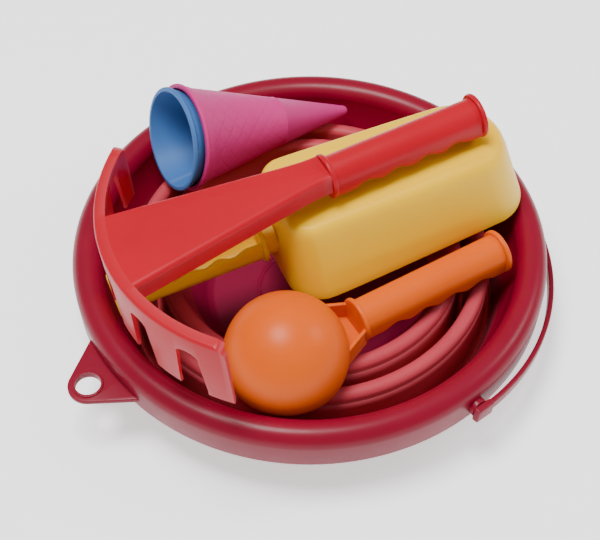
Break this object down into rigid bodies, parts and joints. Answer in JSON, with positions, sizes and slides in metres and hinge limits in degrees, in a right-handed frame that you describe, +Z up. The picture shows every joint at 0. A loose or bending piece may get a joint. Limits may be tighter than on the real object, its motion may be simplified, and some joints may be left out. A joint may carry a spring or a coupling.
{
  "type": "folding sand bucket set",
  "caption": "Folding sand bucket, folded flat, with a swinging bail, loaded with sand tools: rake, scoop, ball scoop and nested cone moulds.",
  "frame": {"origin": "centre of the bucket's base at its underside", "axes": "+Z up along the bucket's axis, -Y towards the front, where the ball scoop lies"},
  "size_m": [0.2862, 0.2863, 0.1342],
  "materials": {
    "base_plastic": "satin",
    "rim_plastic": "semi-gloss",
    "soft_wall": "satin",
    "red_plastic": "semi-gloss",
    "yellow_plastic": "semi-gloss",
    "orange_plastic": "semi-gloss",
    "pink_plastic": "satin",
    "blue_plastic": "satin"
  },
  "bodies": {
    "base": {"base_cup": "base_plastic", "lower_wall_ring": "soft_wall", "lower_web": "soft_wall"},
    "middle": {"middle_wall_ring": "soft_wall", "upper_web": "soft_wall"},
    "rim": {"rim_ring": "rim_plastic", "upper_wall_collar": "soft_wall"},
    "bail": {"bail_handle": "rim_plastic"},
    "scoop": {"scoop": "yellow_plastic"},
    "rake": {"rake": "red_plastic"},
    "ball_scoop": {"ball_scoop": "orange_plastic"},
    "pink_cone": {"pink_cone": "pink_plastic"},
    "blue_cone": {"blue_cone": "blue_plastic"}
  },
  "joints": [
    {"name": "lower_fold", "type": "slide", "parent": "base", "child": "middle", "axis": [0, 0, 1], "range_m": [0, 0.064], "deforming": ["lower_web"]},
    {"name": "upper_fold", "type": "slide", "parent": "middle", "child": "rim", "axis": [0, 0, 1], "range_m": [0, 0.064], "deforming": ["upper_web"]},
    {"name": "bail_swing", "type": "hinge", "parent": "rim", "child": "bail", "pos_m": [0, 0, 0.0385], "axis": [0.6521, -0.7581, 0], "range_deg": [0, 140]},
    {"name": "scoop_lift", "type": "slide", "parent": "rim", "child": "scoop", "axis": [0, 0, 1], "range_m": [0, 0.25]},
    {"name": "rake_lift", "type": "slide", "parent": "scoop", "child": "rake", "axis": [0, 0, 1], "range_m": [0, 0.12]},
    {"name": "ball_scoop_lift", "type": "slide", "parent": "rim", "child": "ball_scoop", "axis": [0, 0, 1], "range_m": [0, 0.2]},
    {"name": "cone_lift", "type": "slide", "parent": "rim", "child": "pink_cone", "axis": [0, 0, 1], "range_m": [0, 0.2]},
    {"name": "blue_cone_draw", "type": "slide", "parent": "pink_cone", "child": "blue_cone", "axis": [-0.8529, -0.4535, 0.2588], "range_m": [0, 0.028]}
  ],
  "couplings": [
    {"joint": "upper_fold", "follows": "lower_fold", "ratio": 1}
  ]
}
